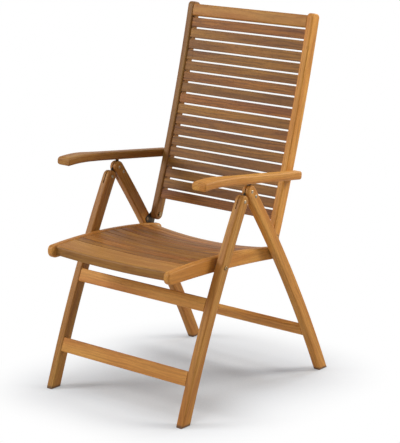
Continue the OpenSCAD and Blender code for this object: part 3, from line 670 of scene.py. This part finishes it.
# Armrests: a rounded section carried from tail to nose. a is a distance in front of the hinge
ARM_TILT = radians(6.56)
ARM_T = 25 * MM
ARM_L = 450 * MM
ARM_TAIL = 13.5 * MM
ARM_BODY = (243.5 * MM, 275.5 * MM)
ARM_NOSE = (234 * MM, 285 * MM)
ARM_DROOP_L = 100 * MM
ARM_DROOP_R = 500 * MM
ARM_NOSE_L = 60 * MM
ARM_TAPER_L = 110 * MM
ARM_TAPER_START = ARM_L - ARM_NOSE_L - ARM_TAPER_L
ARM_EDGE_R = 5 * MM
ARM_EDGE_SEGMENTS = 5
NOSE_PLAN_R = 4 * MM
NOSE_SIDE_R = 7 * MM
TAIL_R = 4 * MM
TAIL_STEPS = (0, 30, 60, 90)
BODY_SHARES = (0.1, 0.2, 0.3, 0.4, 0.5, 0.6)
TAPER_STEP = 10 * MM
TAPER_STEPS = 15
NOSE_STEPS = (0, 20, 40, 55, 68, 80, 90)
GROOVE_GAP = 2.5 * MM
GROOVE_MARGIN = 6 * MM
# Each armrest's side of the chair, its shade and its warmth. The left one's darker shade is partly
# painted shade, for the light fell from the right
ARMRESTS = {"armrest_left": (-1, 0.56, 0.5), "armrest_right": (1, 0.96, 0.55)}


def inset_at(distance, radius):
    """How far a rounded corner has drawn in, at a distance from the end that it rounds."""
    if distance >= radius:
        return 0
    return radius - sqrt(radius ** 2 - (radius - distance) ** 2)


def arm_section(a):
    """The armrest's middle across, half-width, middle height and half-thickness at a."""
    share = min(max((a - ARM_TAPER_START) / ARM_TAPER_L, 0), 1)
    share = (1 - cos(pi * share)) / 2
    inner = ARM_BODY[0] + (ARM_NOSE[0] - ARM_BODY[0]) * share
    outer = ARM_BODY[1] + (ARM_NOSE[1] - ARM_BODY[1]) * share
    droop = max(a - (ARM_L - ARM_DROOP_L), 0) ** 2 / (2 * ARM_DROOP_R)
    half_w = (outer - inner) / 2 - inset_at(ARM_L - a, NOSE_PLAN_R) - inset_at(a + ARM_TAIL, TAIL_R) / 2
    half_t = ARM_T / 2 - inset_at(ARM_L - a, NOSE_SIDE_R) - inset_at(a + ARM_TAIL, TAIL_R)
    return (inner + outer) / 2, half_w, -droop, half_t


def arm_stations():
    tail = [-ARM_TAIL + TAIL_R * (1 - cos(radians(step))) for step in TAIL_STEPS]
    body = [ARM_L * share for share in BODY_SHARES]
    taper = [ARM_TAPER_START + TAPER_STEP * step for step in range(1, TAPER_STEPS + 1)]
    nose = [ARM_L - NOSE_SIDE_R * (1 - sin(radians(step))) for step in NOSE_STEPS]
    return tail + body + taper + nose


def arm_bar(name):
    """The right armrest's bar, level and with its hinge at the origin."""
    stations = arm_stations()
    x, half_w, height, half_t = arm_section(stations[0])
    at = Vector((x, -stations[0], height))
    deselect()
    bpy.ops.mesh.primitive_plane_add(size=1, location=at, rotation=(pi / 2, 0, 0))
    piece = bpy.context.object
    piece.name = name
    piece.scale = (2 * half_w, 2 * half_t, 1)
    apply_place(piece)
    edit(piece)
    bpy.ops.mesh.select_mode(type="VERT")
    bpy.ops.mesh.select_all(action="SELECT")
    bpy.ops.mesh.bevel(offset=ARM_EDGE_R, offset_type="OFFSET", segments=ARM_EDGE_SEGMENTS,
                       affect="VERTICES")
    bpy.ops.mesh.select_mode(type="FACE")
    bpy.ops.mesh.select_all(action="SELECT")
    for a in stations[1:]:
        x, new_w, height, new_t = arm_section(a)
        to = Vector((x, -a, height))
        bpy.ops.mesh.extrude_region_move(TRANSFORM_OT_translate={"value": to - at})
        bpy.ops.transform.resize(value=(new_w / half_w, 1, new_t / half_t), center_override=to)
        at, half_w, half_t = to, new_w, new_t
    leave_edit()
    turn_outwards(piece)
    return piece


def rack_groove(rack, hinge):
    """A cutter for the groove under the level bar that the rack lies in."""
    low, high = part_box(rack)
    places = np.array([v.co for v in NODES[rack].data.vertices])
    forward = (places[:, 1] - hinge.y) * -cos(ARM_TILT) + (places[:, 2] - hinge.z) * sin(ARM_TILT)
    upward = (places[:, 1] - hinge.y) * sin(ARM_TILT) + (places[:, 2] - hinge.z) * cos(ARM_TILT)
    size = Vector((high.x - low.x + 2 * GROOVE_GAP,
                   np.ptp(forward) + 2 * GROOVE_MARGIN,
                   upward.max() + ARM_T))
    middle = Vector((abs(low.x + high.x) / 2,
                     -(forward.min() + forward.max()) / 2,
                     upward.max() - size.z / 2))
    bpy.ops.mesh.primitive_cube_add(size=1, location=middle)
    groove = bpy.context.object
    groove.scale = size
    return groove


def make_armrest(node, hand):
    """The bar with its groove, tilted and set on its hinge; the left one is mirrored."""
    hinge = middle_of(node.replace("armrest", "armrest_bolt"))
    hinge.x = 0
    piece = arm_bar(f"{node}_timber")
    cut(piece, rack_groove(node.replace("armrest", "armrest_rack"), hinge))
    piece.rotation_euler = (-ARM_TILT, 0, 0)
    piece.location = hinge
    apply_place(piece)
    if hand < 0:
        piece.scale = (-1, 1, 1)
        apply_place(piece)
        turn_outwards(piece)
    return piece


for node, (hand, shade, warmth) in ARMRESTS.items():
    finish_wood(make_armrest(node, hand), node, FRAME_WOOD, shade, warmth, face_up=True)

# Steel: plates and racks with eased edges, bolts with hexagon sockets, and screws with cross recesses
PLATE_EDGE = 0.35 * MM
HEAD_EDGE = 0.5 * MM
EASED_SEGMENTS = 2
RIVET_SMOOTH_ANGLE = radians(60)
SOCKET_SIDES = 6
SOCKET_R = 2.6 * MM
SOCKET_DEPTH = 2.4 * MM
RECESS_W = 1.1 * MM
RECESS_L = 5.5 * MM
RECESS_DEPTH = 1.2 * MM
# Each set of bolts, whether its heads are at the outer ends, and its finish
BOLTS = [("seat_pivot_bolts", False, PLATED), ("seat_catch_pins", True, BROWNED),
         ("back_pivot_bolts", True, BROWNED), ("armrest_bolt_left", False, PLATED),
         ("armrest_bolt_right", False, PLATED)]


def fitting(node, edge=0):
    """A steel piece made from its node, with its edges eased."""
    piece = cad_copy(node, f"{node}_steel")
    if edge:
        round_edges(piece, creases, edge, EASED_SEGMENTS, clamp=True)
    return piece


def finish_steel(piece, node, material, angle=SMOOTH_ANGLE):
    smooth(piece, angle)
    dress(piece, node, material)


def ends_across(piece):
    """How far a piece's outer and inner ends on each side lie from the chair's middle."""
    from_middle = [abs(v.co.x) for v in piece.data.vertices]
    return max(from_middle), min(from_middle)


def box_middle(piece):
    return sum((Vector(corner) for corner in piece.bound_box), Vector()) / 8


def hexagon_rod(place):
    """A cutter for the hexagon socket in a bolt's head."""
    deselect()
    bpy.ops.mesh.primitive_cylinder_add(vertices=SOCKET_SIDES, radius=SOCKET_R, depth=2 * SOCKET_DEPTH,
                                        location=place, rotation=(0, pi / 2, 0))
    return bpy.context.object


def socket_heads(piece, at_outer_end):
    """A hexagon socket in each head, on both sides of the chair where the piece has bolts on both."""
    outer, inner = ends_across(piece)
    middle = box_middle(piece)
    across = [v.co.x for v in piece.data.vertices]
    on_both_sides = min(across) < 0 < max(across)
    one_side = 1 if middle.x > 0 else -1
    for side in (1, -1) if on_both_sides else (one_side,):
        end = side * (outer if at_outer_end else inner)
        cut(piece, hexagon_rod(Vector((end, middle.y, middle.z))))


def cross_recess(piece):
    """A cross cut into the head of each bracket screw."""
    inner = ends_across(piece)[1]
    middle = box_middle(piece)
    for side in (-1, 1):
        for size in ((RECESS_W, RECESS_L), (RECESS_L, RECESS_W)):
            deselect()
            bpy.ops.mesh.primitive_cube_add(size=1, location=(side * inner, middle.y, middle.z))
            blade = bpy.context.object
            blade.scale = (2 * RECESS_DEPTH, *size)
            cut(piece, blade)


for node in both("apex_plate") + both("back_bracket") + both("armrest_rack"):
    finish_steel(fitting(node, PLATE_EDGE), node, DULL_AND_SHADE_DARKENED)
for node in ("plate_rivets", "front_pivot_rivets"):
    finish_steel(fitting(node), node, PLATED, RIVET_SMOOTH_ANGLE)
for node in ("rest_pins", "seat_spacers"):
    finish_steel(fitting(node, PLATE_EDGE), node, PLATED)
for node, at_outer_end, material in BOLTS:
    bolts = fitting(node, HEAD_EDGE)
    socket_heads(bolts, at_outer_end)
    finish_steel(bolts, node, material)
screws = fitting("bracket_screws", PLATE_EDGE)
cross_recess(screws)
finish_steel(screws, "bracket_screws", BROWNED)


# Floor, world and lamps. The shadow is full within SHADOW_HALF of the middle, and gone SHADOW_FADE past it.
# Its depth and tone are given for red, green and blue, so that it stays a plain grey
FLOOR_W = 60
FLOOR_DROP = 0.5 * MM
FLOOR_GREY = 0.7
SHADOW_HALF = (0.16, 0.22)
SHADOW_FADE = 0.38
SHADOW_REACH = 0.9
SHADOW_SAMPLES = 16
SHADOW_DEPTH = (0.46, 0.41, 0.4)
SHADOW_TONE = (0.868, 0.892, 0.946)
SKY_LEVEL = 0.12


def make_floor():
    """White to the camera, with the chair's shadow between its feet, and a dimmer grey to all else."""
    bpy.ops.mesh.primitive_plane_add(size=FLOOR_W, location=(0, 0, -FLOOR_DROP))
    floor = bpy.context.object
    floor.name = "floor"
    material = bpy.data.materials.new("pale_floor")
    g = Graph(material)
    x, y = g.parts(g.node("ShaderNodeTexCoord", output="Object"))[:2]
    past_x = (abs(x) - SHADOW_HALF[0]).larger(0.0)
    past_y = (abs(y) - SHADOW_HALF[1]).larger(0.0)
    white = g.between((past_x ** 2.0 + past_y ** 2.0) ** 0.5, 0.0, SHADOW_FADE)
    open_sky = g.node("ShaderNodeAmbientOcclusion", {"samples": SHADOW_SAMPLES}, {"Distance": SHADOW_REACH},
                      output="AO")
    grey = g.channels(*(open_sky ** depth * tone for depth, tone in zip(SHADOW_DEPTH, SHADOW_TONE)))
    shaded = g.node("ShaderNodeBsdfDiffuse", {}, {"Color": grey})
    glow = g.node("ShaderNodeEmission", {}, {"Color": (1, 1, 1, 1), "Strength": 1.0})
    to_camera = g.node("ShaderNodeMixShader", {}, {0: white, 1: shaded, 2: glow})
    bounced = g.node("ShaderNodeBsdfDiffuse", {}, {"Color": (FLOOR_GREY, FLOOR_GREY, FLOOR_GREY, 1)})
    shader = g.node("ShaderNodeMixShader", {}, {0: g.seen(), 1: bounced, 2: to_camera})
    g.node("ShaderNodeOutputMaterial", {}, {"Surface": shader})
    floor.data.materials.append(material)


def make_world():
    """White to the camera, and a weak even light on the chair."""
    world = bpy.data.worlds.new("studio")
    bpy.context.scene.world = world
    g = Graph(world)
    strength = g.seen() * (1 - SKY_LEVEL) + SKY_LEVEL
    sky = g.node("ShaderNodeBackground", {}, {"Color": (1, 1, 1, 1), "Strength": strength})
    g.node("ShaderNodeOutputWorld", {}, {"Surface": sky})


# Each lamp's bearing from +X towards +Y and its elevation, in degrees, its distance and width in metres,
# the brightness that it gives a white card, and its colour
CHEST = Vector((0, 0, 0.55))
LAMPS = {
    "key_from_the_right": (40, 28, 4.5, 1.6, 0.62, (1.0, 0.96, 0.88)),
    "fill_from_the_left": (-138, 24, 4.5, 1.5, 0.5, (1.0, 0.98, 0.94)),
    "fill_from_the_front": (-75, 22, 4.5, 2.0, 0.16, (0.95, 0.98, 1.0)),
    "rear_light": (80, 35, 4.5, 2.0, 0.22, (0.86, 0.93, 1.0)),
    "top_light": (-90, 86, 4.0, 2.5, 0.28, (1.0, 1.0, 1.0)),
}


def make_lamp(name, bearing, elevation, distance, size, level, colour):
    """A soft square lamp, turned to the middle of the chair."""
    data = bpy.data.lights.new(name, "AREA")
    data.shape = "SQUARE"
    data.size = size
    data.energy = level * (pi * distance) ** 2
    data.color = colour
    light = bpy.data.objects.new(name, data)
    bpy.context.scene.collection.objects.link(light)
    turn = radians(bearing)
    rise = radians(elevation)
    toward = Vector((cos(turn) * cos(rise), sin(turn) * cos(rise), sin(rise)))
    light.location = CHEST + toward * distance
    light.rotation_euler = toward.to_track_quat("Z", "Y").to_euler()


make_floor()
make_world()
for name, values in LAMPS.items():
    make_lamp(name, *values)
